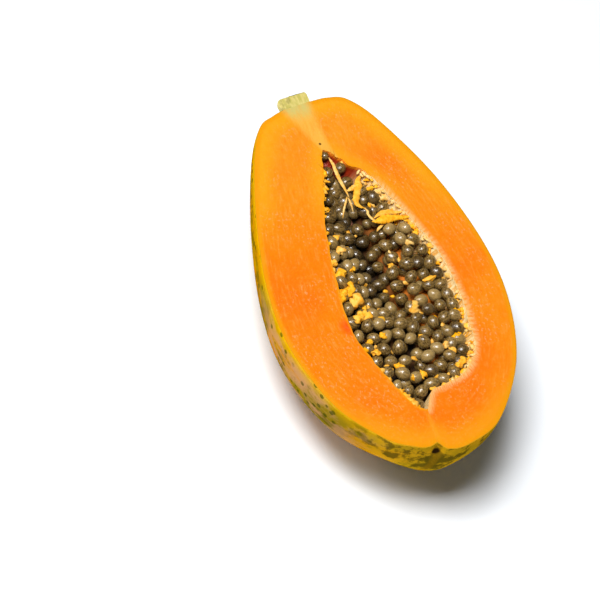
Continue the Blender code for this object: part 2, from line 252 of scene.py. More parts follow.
fruit_mesh = bpy.data.meshes.new("papaya_half")
fruit_mesh.from_pydata(points, [], faces)
fruit_mesh.polygons.foreach_set("material_index", face_kinds)
for name, values in (("skin_gap", skin_gap), ("rim_gap", rim_gap), ("stalk", stalk)):
    fruit_mesh.attributes.new(name, "FLOAT", "POINT").data.foreach_set("value", values.astype(np.float32))
spread = np.array([(across, lengthwise, 0.0) for across, lengthwise in grain], np.float32)
fruit_mesh.attributes.new("grain", "FLOAT_VECTOR", "POINT").data.foreach_set("vector", spread.ravel())
weld = bmesh.new()
weld.from_mesh(fruit_mesh)
bmesh.ops.remove_doubles(weld, verts=weld.verts, dist=WELD_GAP)
bmesh.ops.recalc_face_normals(weld, faces=weld.faces)
for face in weld.faces:
    face.smooth = face.material_index != FLESH
weld.to_mesh(fruit_mesh)
weld.free()
papaya_half = bpy.data.objects.new("papaya_half", fruit_mesh)
bpy.context.scene.collection.objects.link(papaya_half)


LAMP_LEVEL = 1.6


def tint(red, green, blue):
    """A colour, 0 to 255, as it looks under the lamps, which light a level surface to LAMP_LEVEL."""
    shares = [value / 255 for value in (red, green, blue)]
    linear = [s / 12.92 if s <= 0.04045 else ((s + 0.055) / 1.055) ** 2.4 for s in shares]
    return (*[value / LAMP_LEVEL for value in linear], 1.0)


def put(tree, kind, options=None, **sockets):
    """Adds a shader node, sets its options, and fills or links its sockets by name."""
    made = tree.nodes.new(kind)
    for name, value in (options or {}).items():
        setattr(made, name, value)
    for name, value in sockets.items():
        socket = made.inputs[name.replace("_", " ")]
        if isinstance(value, bpy.types.NodeSocket):
            tree.links.new(value, socket)
        else:
            socket.default_value = value
    return made


def attribute(tree, name, output="Fac"):
    return put(tree, "ShaderNodeAttribute", {"attribute_name": name}).outputs[output]


def stretched(tree, source, scale, shift=(0.0, 0.0, 0.0)):
    return put(tree, "ShaderNodeMapping", None, Vector=source, Scale=scale, Location=shift).outputs[0]


def mottle(tree, where, scale=1.0, detail=2.0, roughness=0.5):
    """Cloudy variation, about 0.2 to 0.8."""
    sockets = {"Vector": where, "Scale": scale, "Detail": detail, "Roughness": roughness}
    return put(tree, "ShaderNodeTexNoise", None, **sockets).outputs["Fac"]


def between(tree, value, low, high, out_low=0.0, out_high=1.0):
    """Soft step: out_low where value is under low, out_high where it is over high."""
    made = put(tree, "ShaderNodeMapRange", {"interpolation_type": "SMOOTHSTEP"}, Value=value)
    for k, number in enumerate((low, high, out_low, out_high), 1):
        made.inputs[k].default_value = number
    return made.outputs[0]


def times(tree, a, b):
    made = tree.nodes.new("ShaderNodeMath")
    made.operation = "MULTIPLY"
    for socket, value in zip(made.inputs, (a, b)):
        if isinstance(value, bpy.types.NodeSocket):
            tree.links.new(value, socket)
        else:
            socket.default_value = value
    return made.outputs[0]


def over(tree, share, under, top):
    """Colour top laid over colour under, by share."""
    made = tree.nodes.new("ShaderNodeMix")
    made.data_type = "RGBA"
    for index, value in ((0, share), (6, under), (7, top)):
        if isinstance(value, bpy.types.NodeSocket):
            tree.links.new(value, made.inputs[index])
        else:
            made.inputs[index].default_value = value
    return made.outputs[2]


def spot_at(tree, where, place, near, far):
    """Share that is 1 within near of a place and 0 beyond far, in metres."""
    made = put(tree, "ShaderNodeVectorMath", {"operation": "DISTANCE"})
    tree.links.new(where, made.inputs[0])
    made.inputs[1].default_value = place
    return between(tree, made.outputs["Value"], near, far, 1.0, 0.0)


def finish_of(name):
    """A new material: its tree and its surface shader."""
    made = bpy.data.materials.new(name)
    made.use_nodes = True
    return made, made.node_tree, made.node_tree.nodes["Principled BSDF"]


def relief(tree, shader, height, distance, strength=1.0):
    bump = put(tree, "ShaderNodeBump", None, Height=height, Distance=distance, Strength=strength)
    tree.links.new(bump.outputs[0], shader.inputs["Normal"])


# Skin: thin, smooth and waxy, ripe yellow with green that has not turned, and freckled.
ripe_skin, tree, shader = finish_of("ripe_skin")
where = put(tree, "ShaderNodeTexCoord").outputs["Object"]
place = put(tree, "ShaderNodeSeparateXYZ", None, Vector=where)
patches = mottle(tree, where, 26.0, 4.0, 0.6)
clouds = mottle(tree, stretched(tree, where, (1, 0.6, 1), (3, 1, 2)), 60.0, 4.0, 0.6)
colour = over(tree, between(tree, clouds, 0.38, 0.62), tint(242, 158, 0), tint(216, 170, 4))
patched = between(tree, patches, 0.46, 0.58, 0.0, 0.85)
patched = times(tree, patched, between(tree, place.outputs["Y"], -0.02, 0.02, 1.0, 0.3))
colour = over(tree, patched, colour, tint(158, 142, 26))
blots = mottle(tree, stretched(tree, where, (1, 0.7, 1), (2, 9, 4)), 85.0, 5.0, 0.7)
colour = over(tree, between(tree, blots, 0.5, 0.6, 0.0, 0.7), colour, tint(116, 106, 8))
scars = mottle(tree, stretched(tree, where, (1, 0.35, 1), (0, 5, 0)), 70.0, 5.0, 0.65)
scarred = between(tree, scars, 0.44, 0.58, 0.0, 0.85)
scarred = times(tree, scarred, between(tree, place.outputs["X"], -0.045, -0.005, 1.0, 0.0))
scarred = times(tree, scarred, between(tree, place.outputs["Y"], -0.03, 0.01, 1.0, 0.0))
colour = over(tree, scarred, colour, tint(236, 174, 116))
under_cut = between(tree, place.outputs["Z"], FACE_HEIGHT - 6 * MM, FACE_HEIGHT - 0.5 * MM, 0.0, 0.6)
colour = over(tree, under_cut, colour, tint(250, 190, 0))
freckles = put(tree, "ShaderNodeTexVoronoi", None, Vector=where, Scale=230.0, Randomness=1.0)
where_freckled = mottle(tree, stretched(tree, where, (1, 1, 1), (7, 7, 7)), 45.0, 2.0)
freckle = between(tree, freckles.outputs["Distance"], 0.2, 0.32, 1.0, 0.0)
freckle = times(tree, freckle, between(tree, where_freckled, 0.4, 0.52))
colour = over(tree, times(tree, freckle, 0.75), colour, tint(74, 86, 16))
end = between(tree, place.outputs["Y"], -0.088, -0.062, 0.9, 0.0)
end_colour = over(tree, between(tree, clouds, 0.38, 0.6), tint(272, 204, 34), tint(240, 190, 30))
end_colour = over(tree, between(tree, blots, 0.46, 0.56, 0.0, 0.85), end_colour, tint(100, 88, 24))
crease = between(tree, place.outputs["X"], -6.5 * MM, -4.5 * MM)
crease = times(tree, crease, between(tree, place.outputs["X"], -3.5 * MM, -1.5 * MM, 1.0, 0.0))
crease = times(tree, crease, between(tree, blots, 0.35, 0.6, 0.7, 0.2))
end_colour = over(tree, crease, end_colour, tint(262, 184, 10))
colour = over(tree, end, colour, end_colour)
blossom_scar = spot_at(tree, where, (-5.0 * MM, -88.2 * MM, FACE_HEIGHT - 4.6 * MM), 1.2 * MM, 2.4 * MM)
colour = over(tree, blossom_scar, colour, tint(56, 36, 16))
tree.links.new(colour, shader.inputs["Base Color"])
tree.links.new(between(tree, clouds, 0.3, 0.7, 0.34, 0.5), shader.inputs["Roughness"])
relief(tree, shader, mottle(tree, where, 420.0, 3.0), 0.25 * MM, 0.35)
shader.inputs["Specular IOR Level"].default_value = 0.0

# Flesh: moist and orange, paler along its strands, yellow under the skin and at the stalk.
flesh, tree, shader = finish_of("orange_flesh")
where = put(tree, "ShaderNodeTexCoord").outputs["Object"]
strands = attribute(tree, "grain", "Vector")
place = put(tree, "ShaderNodeSeparateXYZ", None, Vector=where)
colour = over(tree, between(tree, place.outputs["Y"], 0.005, 0.07), tint(268, 140, 2), tint(268, 166, 30))
colour = over(tree, between(tree, place.outputs["X"], 0.0, 0.05, 0.0, 0.5), colour, tint(268, 164, 24))
reddened = between(tree, mottle(tree, where, 22.0, 3.0), 0.4, 0.66, 0.0, 0.6)
reddened = times(tree, reddened, between(tree, place.outputs["Y"], 0.045, 0.07, 1.0, 0.3))
colour = over(tree, reddened, colour, tint(268, 116, 2))
streaks = mottle(tree, stretched(tree, strands, (0.75, 0.26, 1.0)), 1.0, 3.0, 0.6)
straight = mottle(tree, stretched(tree, where, (0.75, 0.26, 1.0)), 1000.0, 3.0, 0.6)
streaks = over(tree, between(tree, place.outputs["Y"], 46 * MM, 64 * MM), streaks, straight)
colour = over(tree, between(tree, streaks, 0.28, 0.48, 0.35, 0.0), colour, tint(268, 126, 6))
colour = over(tree, between(tree, streaks, 0.5, 0.72, 0.0, 0.28), colour, tint(268, 188, 88))
grains = mottle(tree, where, 380.0, 3.0, 0.7)
colour = over(tree, between(tree, grains, 0.5, 0.75, 0.0, 0.3), colour, tint(268, 176, 70))
flecks = mottle(tree, stretched(tree, where, (1.0, 0.7, 1.0), (9, 2, 0)), 900.0, 2.0)
fleck_fields = mottle(tree, where, 60.0, 2.0)
flecked = times(tree, between(tree, flecks, 0.56, 0.7), between(tree, fleck_fields, 0.42, 0.6))
colour = over(tree, times(tree, flecked, 0.4), colour, tint(268, 190, 128))
bruise = spot_at(tree, where, (-23.5 * MM, -27.5 * MM, FACE_HEIGHT), 0.5 * MM, 6.0 * MM)
colour = over(tree, times(tree, bruise, 0.75), colour, tint(268, 76, 4))
edge = attribute(tree, "skin_gap")
rim = attribute(tree, "rim_gap")
upper = between(tree, place.outputs["Y"], 0.01, 0.05)
golden = times(tree, upper, between(tree, edge, 3.0, 13.0, 0.85, 0.0))
colour = over(tree, golden, colour, tint(268, 180, 24))
golden = times(tree, upper, between(tree, rim, 1.0, 9.0, 0.7, 0.0))
colour = over(tree, golden, colour, tint(268, 180, 24))
blossom = between(tree, place.outputs["Y"], -0.085, -0.045, 1.0, 0.0)
blossom = times(tree, blossom, between(tree, edge, 3.0, 14.0, 0.8, 0.0))
colour = over(tree, blossom, colour, tint(264, 170, 20))
seam = times(tree, between(tree, place.outputs["X"], -5.8 * MM, -4.8 * MM),
             between(tree, place.outputs["X"], -4.0 * MM, -2.6 * MM, 1.0, 0.0))
seam = times(tree, seam, between(tree, place.outputs["Y"], -74 * MM, -70 * MM, 0.3, 0.0))
colour = over(tree, seam, colour, tint(262, 182, 40))
colour = over(tree, between(tree, edge, 0.8, 3.2, 0.85, 0.0), colour, tint(258, 166, 0))
colour = over(tree, between(tree, rim, 0.1, 1.4, 0.7, 0.0), colour, tint(262, 168, 4))
grain_place = put(tree, "ShaderNodeSeparateXYZ", None, Vector=strands)
right_side = between(tree, grain_place.outputs["X"], WALL_GRAIN + 40.0, WALL_GRAIN + 60.0)
halo = times(tree, right_side, between(tree, rim, 0.4, 3.6, 0.8, 0.0))
halo = times(tree, halo, between(tree, place.outputs["Y"], 36 * MM, 46 * MM, 1.0, 0.0))
radial = mottle(tree, stretched(tree, strands, (0.3, 1.3, 1.0), (0, 4, 0)), 1.0, 3.0, 0.6)
halo = times(tree, halo, between(tree, radial, 0.3, 0.62, 0.15, 1.0))
colour = over(tree, halo, colour, tint(268, 218, 146))
stalk = attribute(tree, "stalk")
fibres = mottle(tree, stretched(tree, where, (1.0, 0.2, 1.0)), 520.0, 3.0, 0.6)
stalk_colour = over(tree, between(tree, edge, 1.0, 10.0), tint(230, 210, 120), tint(262, 194, 76))
stalk_share = times(tree, between(tree, stalk, 0.0, 0.8), between(tree, fibres, 0.25, 0.6, 0.65, 1.0))
colour = over(tree, stalk_share, colour, stalk_colour)
skin_line = times(tree, between(tree, edge, 0.2, 0.5, 0.6, 0.0), between(tree, stalk, 0.1, 0.4, 1.0, 0.0))
colour = over(tree, skin_line, colour, tint(206, 160, 20))
dark_speck = spot_at(tree, where, (-3.3 * MM, 62.8 * MM, FACE_HEIGHT), 0.3 * MM, 0.8 * MM)
colour = over(tree, dark_speck, colour, tint(90, 40, 10))
tree.links.new(colour, shader.inputs["Base Color"])
tree.links.new(between(tree, streaks, 0.3, 0.7, 0.34, 0.48), shader.inputs["Roughness"])
relief(tree, shader, streaks, 0.25 * MM, 0.35)
shader.inputs["Specular IOR Level"].default_value = 0.2
shader.inputs["Subsurface Weight"].default_value = 0.1
shader.inputs["Subsurface Radius"].default_value = (1.0, 0.4, 0.12)
shader.inputs["Subsurface Scale"].default_value = 0.003

# Cavity wall: a cream, fibrous lining, red-brown and smooth in the narrow tip.
lining, tree, shader = finish_of("cavity_lining")
strands = attribute(tree, "grain", "Vector")
ridges = mottle(tree, stretched(tree, strands, (0.16, 0.9, 1.0)), 1.0, 3.0, 0.6)
colour = over(tree, between(tree, ridges, 0.36, 0.6), tint(275, 196, 84), tint(290, 262, 196))
place = put(tree, "ShaderNodeSeparateXYZ", None, Vector=put(tree, "ShaderNodeTexCoord").outputs["Object"])
deep = between(tree, place.outputs["Z"], FACE_HEIGHT - 13 * MM, FACE_HEIGHT - 5 * MM, 1.0, 0.0)
colour = over(tree, deep, colour, tint(176, 88, 18))
tip = between(tree, place.outputs["Y"], 42 * MM, 49 * MM)
sunk = between(tree, place.outputs["Z"], FACE_HEIGHT - 2.2 * MM, FACE_HEIGHT - 0.3 * MM, 1.0, 0.0)
colour = over(tree, tip, colour, over(tree, sunk, tint(268, 150, 16), tint(176, 48, 8)))
tree.links.new(colour, shader.inputs["Base Color"])
shader.inputs["Roughness"].default_value = 0.4
relief(tree, shader, ridges, 0.5 * MM, 0.7)

for finish in (ripe_skin, flesh, lining):
    fruit_mesh.materials.append(finish)
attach(papaya_half, "root")
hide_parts("fruit_half")


# The stem stub: the woody green end of the stalk that carried the fruit, snapped off short.
# The same cut halved it, so its flat side lies in the plane of the cut face.

STUB_CENTRE = Vector((-7.4 * MM, 0.0, FACE_HEIGHT - 0.03 * MM))
STUB_PROFILE = [
    (0.0, 75.0), (3.0, 75.5), (5.0, 77.2), (6.2, 80.0), (6.8, 83.0), (7.3, 86.2), (7.0, 88.4),
    (6.0, 89.3), (3.0, 89.2), (0.0, 89.4),
]
STUB_LEAN = math.radians(7.0)
STUB_ROUND = 48
STUB_ALONG = 54
STUB_LUMP = 0.05
STUB_END = 88
STUB_END_ROUGHNESS = 0.35
stub_points = []
for step in range(STUB_ROUND + 1):
    angle = math.pi * step / STUB_ROUND
    for k in range(STUB_ALONG + 1):
        radius, y = smooth_point(STUB_PROFILE, k / STUB_ALONG) / MM
        rough = noise.noise((math.cos(angle) * 3, math.sin(angle) * 3, y * 0.35))
        wide = max(radius, 0.0) * (1 + STUB_LUMP * math.sin(5 * angle + 0.6) + STUB_LUMP * rough)
        torn = noise.noise((wide * 0.5 * math.cos(angle), wide * 0.5 * math.sin(angle), 9.0))
        y += STUB_END_ROUGHNESS * torn * (y > STUB_END)
        lean = math.tan(STUB_LEAN) * wide * math.cos(angle) * max(y - 80.0, 0.0) / 6.0
        reach = Vector((wide * math.cos(angle), y + lean, -wide * math.sin(angle)))
        stub_points.append(STUB_CENTRE + reach * MM)
stub_faces = []
across = STUB_ALONG + 1
for step in range(STUB_ROUND):
    for k in range(STUB_ALONG):
        at = step * across + k
        stub_faces.append((at, at + 1, at + 1 + across, at + across))
for k in range(STUB_ALONG):
    at = STUB_ROUND * across + k
    stub_faces.append((k, k + 1, at + 1, at))
stub_mesh = bpy.data.meshes.new("stem_stub_fine")
stub_mesh.from_pydata(stub_points, [], stub_faces)
weld = bmesh.new()
weld.from_mesh(stub_mesh)
bmesh.ops.remove_doubles(weld, verts=weld.verts, dist=WELD_GAP)
bmesh.ops.recalc_face_normals(weld, faces=weld.faces)
for face in weld.faces:
    face.smooth = face.normal.z < 0.9
weld.to_mesh(stub_mesh)
weld.free()
stem_stub_fine = bpy.data.objects.new("stem_stub_fine", stub_mesh)
bpy.context.scene.collection.objects.link(stem_stub_fine)

stem_green, tree, shader = finish_of("stem_green")
where = put(tree, "ShaderNodeTexCoord").outputs["Object"]
fibres = mottle(tree, stretched(tree, where, (1.0, 0.22, 1.0)), 900.0, 3.0, 0.6)
blotches = mottle(tree, where, 240.0, 2.0)
colour = over(tree, between(tree, fibres, 0.35, 0.65), tint(216, 202, 98), tint(246, 226, 134))
colour = over(tree, between(tree, blotches, 0.58, 0.72, 0.0, 0.5), colour, tint(146, 136, 62))
tree.links.new(colour, shader.inputs["Base Color"])
shader.inputs["Roughness"].default_value = 0.55
relief(tree, shader, fibres, 0.3 * MM, 0.6)
stub_mesh.materials.append(stem_green)
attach(stem_stub_fine, "root")
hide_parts("stem_stub")


# The seeds: soft round-ended seeds, each in a clear wet coat, heaped in the cavity.
# They grew on strings from its wall, and lie where the cut left them: level with the
# wide end, and sunk to a valley in the stem half.

SEED_LENGTH = 6.6 * MM
SEED_WIDTH = 5.4 * MM
SEED_COUNT = 128
CLEARANCE = 0.35 * MM
SEED_DRAW = 41
RIM_LEVEL = 3.5 * MM
VALLEY_LINE = (Vector((-2.0, 50.0)) * MM, Vector((3.0, -12.0)) * MM)
VALLEY_DEPTH = 10.5 * MM
VALLEY_WIDTH = 10.0 * MM
SEED_MARGIN = 3.5 * MM
RELAX_ROUNDS = 80
SETTLE_ROUNDS = 40
LOWER_LAYER = 4.8 * MM
LOWER_COUNT = 90
TIP_SEEDS = [
    (-2.3, 58.0, -2.2, 0.7, 1.4), (3.2, 51.4, -3.1, 0.95, 0.9), (-3.6, 49.9, -3.4, 0.95, 1.3),
    (4.0, 44.4, -4.4, 1.0, 0.4),
]
SEED_SIDES = 20
SEED_RINGS = 14
SEED_LUMP = 0.05
SEED_TURN = 0.7
TIP_SEED_TONE = 0.2
SETTLE_STRIDE = 7


def rim_outline():
    """The rim of the cavity in plan, as one closed loop."""
    steps = SPANS * 4
    left = [smooth_point(CAVITY_LEFT, k / steps) for k in range(steps)]
    right = [smooth_point(CAVITY_RIGHT, 1 - k / steps) for k in range(steps)]
    return left + right


def nearest_on(outline, point):
    """Distance to the outline, negative outside it, and the nearest point on it."""
    best = None
    inside = False
    for a, b in zip(outline, outline[1:] + outline[:1]):
        edge = b - a
        share = min(max((point - a).dot(edge) / max(edge.length_squared, 1e-12), 0.0), 1.0)
        foot = a + edge * share
        if best is None or (point - foot).length < best[0]:
            best = ((point - foot).length, foot)
        if (a.y > point.y) != (b.y > point.y):
            if point.x < a.x + (point.y - a.y) / (b.y - a.y) * edge.x:
                inside = not inside
    return (best[0] if inside else -best[0]), best[1]


def heap_depth(point):
    """How far under the cut face the middles of the seeds lie at this place in plan."""
    a, b = VALLEY_LINE
    line = b - a
    share = min(max((point - a).dot(line) / line.length_squared, 0.0), 1.0)
    off = (point - (a + line * share)).length
    return RIM_LEVEL + VALLEY_DEPTH * math.exp(-((off / VALLEY_WIDTH) ** 2))


def seed_places(count, number):
    """Middles of the seeds in plan: drawn at random, then pushed apart until they sit evenly."""
    draw = random.Random(number)
    outline = rim_outline()
    low = Vector((min(p.x for p in outline), min(p.y for p in outline)))
    high = Vector((max(p.x for p in outline), max(p.y for p in outline)))
    places = []
    while len(places) < count:
        point = Vector((draw.uniform(low.x, high.x), draw.uniform(low.y, high.y)))
        if nearest_on(outline, point)[0] > SEED_MARGIN:
            places.append(point)
    reach = 1.25 * SEED_LENGTH
    for _ in range(RELAX_ROUNDS):
        moves = [Vector((0.0, 0.0)) for _ in places]
        for i, a in enumerate(places):
            for j in range(i):
                apart = a - places[j]
                gap = apart.length
                if 1e-9 < gap < reach:
                    push = apart / gap * (reach - gap) * 0.2
                    moves[i] += push
                    moves[j] -= push
        for i, move in enumerate(moves):
            point = places[i] + move
            room, foot = nearest_on(outline, point)
            if room < SEED_MARGIN:
                inward = (point - foot) * (1 if room > 0 else -1)
                point = foot + inward.normalized() * SEED_MARGIN
            places[i] = point
    return places


def settle(corners, spot, gap, walls):
    """Pushes corners, carried at spot, clear of the walls and of the face. None if they do not fit."""
    top = max(corner.z for corner in corners)
    for _ in range(SETTLE_ROUNDS):
        spot.z = min(spot.z, FACE_HEIGHT - gap - top)
        worst = None
        for corner in corners:
            foot, normal, _, _ = walls.find_nearest(spot + corner)
            short = gap - (spot + corner - foot).dot(normal)
            if short > 0 and (worst is None or short > worst[0]):
                worst = (short, normal)
        if worst is None:
            return spot
        spot = spot + worst[1] * (worst[0] + 0.02 * MM)
    return None


def seed_shell(sides, rings, turn, size):
    """Corners of one seed at the origin, with the same corners in the seed's own lengthwise frame."""
    rotation = turn.to_matrix()
    own = []
    for ring in range(rings + 1):
        lift = math.pi * ring / rings
        count = 1 if ring in (0, rings) else sides
        for side in range(count):
            spin = 2 * math.pi * side / sides
            x = math.cos(lift) / 2
            waist = 1.0 - 0.25 * max(x, 0.0)
            y = math.sin(lift) * math.cos(spin) * waist / 2
            z = math.sin(lift) * math.sin(spin) * waist / 2
            own.append(Vector((x * SEED_LENGTH, y * SEED_WIDTH, z * SEED_WIDTH)))
    return [rotation @ corner * size for corner in own], own


def seed_skin(sides, rings):
    """Faces of a seed's shell, from its narrow end to its blunt one."""
    faces = []
    for side in range(sides):
        faces.append((0, 1 + side, 1 + (side + 1) % sides))
    for ring in range(rings - 2):
        for side in range(sides):
            a = 1 + ring * sides
            b = a + sides
            n = (side + 1) % sides
            faces.append((a + side, b + side, b + n, a + n))
    last = 1 + (rings - 1) * sides
    for side in range(sides):
        faces.append((last, last - sides + (side + 1) % sides, last - sides + side))
    return faces


cad_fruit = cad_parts["fruit_half"].data
walls = BVHTree.FromPolygons(
    [vert.co for vert in cad_fruit.vertices], [face.vertices for face in cad_fruit.polygons]
)
seed_points = []
seed_faces = []
top_seeds = []
seed_tones = []
seed_frames = []
shell_faces = seed_skin(SEED_SIDES, SEED_RINGS)
for lower in (False, True):
    draw = random.Random(SEED_DRAW + 1 + lower)
    for place in seed_places(LOWER_COUNT if lower else SEED_COUNT, SEED_DRAW + 10 * lower):
        turn = Euler((0.0, draw.uniform(-SEED_TURN, SEED_TURN), draw.uniform(0.0, math.pi)))
        size = draw.uniform(0.9, 1.06)
        corners, own = seed_shell(SEED_SIDES, SEED_RINGS, turn, size)
        depth = heap_depth(place) + draw.uniform(-1.0, 1.2) * MM + LOWER_LAYER * lower
        start = Vector((place.x, place.y, FACE_HEIGHT - depth))
        spot = settle(corners[::SETTLE_STRIDE], start, CLEARANCE, walls)
        if spot is None:
            continue
        if not lower:
            top_seeds.append(spot)
        first = len(seed_points)
        tone = draw.random()
        for corner, at in zip(corners, own):
            lump = 1 + SEED_LUMP * noise.noise(at * 600 + Vector((tone * 50, 0, 0)))
            seed_points.append(spot + corner * lump)
            seed_frames.append(at / MM + Vector((tone * 90, 0, 0)))
            seed_tones.append(tone)
        seed_faces += [tuple(first + k for k in face) for face in shell_faces]

for number, (x, y, z, size, lean) in enumerate(TIP_SEEDS):
    corners, own = seed_shell(SEED_SIDES, SEED_RINGS, Euler((0.0, 0.3, lean)), size)
    spot = Vector((x * MM, y * MM, FACE_HEIGHT + z * MM))
    first = len(seed_points)
    seed_points += [spot + corner for corner in corners]
    seed_frames += [at / MM + Vector((11.0 * number, 0, 0)) for at in own]
    seed_tones += [TIP_SEED_TONE] * len(own)
    seed_faces += [tuple(first + k for k in face) for face in shell_faces]

seeds_mesh = bpy.data.meshes.new("seed_crop")
seeds_mesh.from_pydata(seed_points, [], seed_faces)
tones = seeds_mesh.attributes.new("tone", "FLOAT", "POINT")
tones.data.foreach_set("value", np.array(seed_tones, np.float32))
own_places = seeds_mesh.attributes.new("own_place", "FLOAT_VECTOR", "POINT")
own_places.data.foreach_set("vector", np.array(seed_frames, np.float32).ravel())
seeds_mesh.shade_smooth()
seed_crop = bpy.data.objects.new("seed_crop", seeds_mesh)
bpy.context.scene.collection.objects.link(seed_crop)

# Seed coat: dark olive and finely wrinkled, under a clear wet jelly.
seed_coat, tree, shader = finish_of("seed_coat")
own_place = attribute(tree, "own_place", "Vector")
tone = attribute(tree, "tone")
wrinkles = mottle(tree, stretched(tree, own_place, (0.7, 1.5, 1.5)), 1.0, 4.0, 0.65)
colour = over(tree, between(tree, wrinkles, 0.35, 0.65), tint(82, 60, 22), tint(174, 138, 72))
colour = over(tree, between(tree, tone, 0.0, 0.35, 0.65, 0.0), colour, tint(60, 42, 20))
colour = over(tree, between(tree, tone, 0.55, 1.0, 0.0, 0.5), colour, tint(216, 180, 112))
place = put(tree, "ShaderNodeSeparateXYZ", None, Vector=put(tree, "ShaderNodeTexCoord").outputs["Object"])
# Painted shade: seeds that lie deeper in the heap are darkened nearly to black, for the shade that falls
# between the seeds.
sunk = between(tree, place.outputs["Z"], FACE_HEIGHT - 16 * MM, FACE_HEIGHT - 7 * MM, 0.85, 0.0)
colour = over(tree, sunk, colour, tint(26, 18, 10))
tree.links.new(colour, shader.inputs["Base Color"])
tree.links.new(between(tree, wrinkles, 0.3, 0.7, 0.22, 0.36), shader.inputs["Roughness"])
shader.inputs["Coat Weight"].default_value = 0.6
shader.inputs["Coat Roughness"].default_value = 0.1
shader.inputs["Sheen Weight"].default_value = 0.08
shader.inputs["Sheen Roughness"].default_value = 0.4
shader.inputs["Sheen Tint"].default_value = tint(226, 206, 150)
relief(tree, shader, wrinkles, 0.35 * MM, 0.6)
seeds_mesh.materials.append(seed_coat)
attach(seed_crop, "root")
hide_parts("seeds")


# The pulp bed: wet pulp and the lowest seeds, seen only in the gaps between the others.
# It is the soft tissue that the crop grew in. Its dark brown is painted shade for the deep gaps between the
# seeds, and it turns orange towards the right wall.

PULP_SINK = 6.5 * MM
PULP_ROWS = 120
PULP_ACROSS = 40
PULP_LUMP = 1.5 * MM
pulp_points = []
for row in range(PULP_ROWS + 1):
    t = row / PULP_ROWS
    for k in range(PULP_ACROSS + 1):
        a = cavity_point(t, math.pi)
        b = cavity_point(t, 0.0)
        spot = a.lerp(b, k / PULP_ACROSS)
        sink = heap_depth(spot.xy) + PULP_SINK + PULP_LUMP * noise.noise(spot * 220)
        pulp_points.append(Vector((spot.x, spot.y, FACE_HEIGHT - sink)))
pulp_faces = []
for row in range(PULP_ROWS):
    for k in range(PULP_ACROSS):
        at = row * (PULP_ACROSS + 1) + k
        pulp_faces.append((at, at + 1, at + PULP_ACROSS + 2, at + PULP_ACROSS + 1))
pulp_mesh = bpy.data.meshes.new("pulp_bed")
pulp_mesh.from_pydata(pulp_points, [], pulp_faces)
pulp_mesh.shade_smooth()
pulp_bed = bpy.data.objects.new("pulp_bed", pulp_mesh)
bpy.context.scene.collection.objects.link(pulp_bed)
pulp_with_painted_shade, tree, shader = finish_of("pulp_with_painted_shade")
where = put(tree, "ShaderNodeTexCoord").outputs["Object"]
clots = mottle(tree, where, 180.0, 4.0, 0.6)
# Painted shade: the two dark browns stand in for the deep shade in the gaps between the seeds.
colour = over(tree, between(tree, clots, 0.4, 0.65), tint(34, 22, 8), tint(98, 58, 16))
place = put(tree, "ShaderNodeSeparateXYZ", None, Vector=where)
colour = over(tree, between(tree, place.outputs["X"], 6 * MM, 18 * MM, 0.0, 0.8), colour, tint(262, 146, 36))
tree.links.new(colour, shader.inputs["Base Color"])
shader.inputs["Roughness"].default_value = 0.7
shader.inputs["Specular IOR Level"].default_value = 0.15
relief(tree, shader, clots, 0.8 * MM, 0.8)
pulp_mesh.materials.append(pulp_with_painted_shade)
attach(pulp_bed, "root")


# Placenta threads: strings and flaps of soft yellow tissue that bridge the cavity.
# They grew from the tip and the wall, and the knife left them hanging between the seeds.
# Each is a chain of middle point, in millimetres from the cut face, and width.

THREADS = [
    (0.4, [
        (-0.6, 57.2, -2.4, 2.0), (0.2, 53.4, -2.5, 2.0), (0.2, 49.2, -2.4, 1.9), (0.3, 44.9, -2.3, 1.8),
        (1.0, 40.4, -2.5, 1.5), (1.7, 36.0, -3.0, 1.6),
    ]),
    (0.3, [
        (1.2, 36.8, -3.3, 1.1), (-0.3, 34.2, -4.0, 1.0), (-1.9, 31.3, -5.0, 0.9),
        (-3.2, 28.0, -6.5, 0.6),
    ]),
    (0.3, [(1.4, 36.2, -3.3, 1.1), (2.2, 33.3, -4.6, 1.0), (2.7, 30.2, -6.5, 0.7)]),
    (0.8, [
        (14.5, 47.5, -3.2, 1.4), (9.6, 44.8, -3.0, 2.6), (7.9, 41.0, -3.0, 3.6), (5.4, 36.4, -3.2, 3.2),
        (4.3, 33.0, -3.6, 2.6), (6.2, 31.0, -4.2, 1.7), (8.6, 30.6, -5.0, 1.2),
    ]),
    (0.6, [(8.4, 41.4, -2.8, 2.0), (5.6, 40.6, -2.8, 2.4), (3.6, 39.8, -3.0, 1.8), (1.6, 39.4, -3.2, 0.9)]),
    (0.4, [
        (7.2, 31.0, -4.6, 1.3), (8.6, 29.2, -5.0, 1.2), (8.3, 27.2, -5.0, 1.1), (9.4, 24.3, -4.6, 1.3),
        (11.0, 22.4, -3.8, 1.8),
    ]),
    (0.9, [
        (8.3, 23.4, -4.4, 1.5), (10.0, 22.6, -3.6, 2.8), (13.0, 22.6, -3.0, 4.2), (16.8, 22.8, -2.9, 3.8),
        (20.8, 22.4, -2.8, 2.6), (24.6, 20.6, -2.5, 1.8), (28.2, 18.2, -2.2, 1.2),
    ]),
    (0.7, [
        (9.2, 24.2, -3.6, 1.3), (12.6, 25.6, -2.8, 2.4), (16.5, 25.8, -2.4, 2.6), (19.8, 24.8, -2.2, 1.9),
        (23.4, 24.4, -1.6, 1.0),
    ]),
    (0.5, [(9.9, 19.3, -6.6, 0.9), (11.2, 20.4, -5.6, 1.3), (13.4, 21.4, -4.4, 1.4)]),
]
THREAD_FLATNESS = 0.55
THREAD_SIDES = 12
THREAD_STEPS = 10


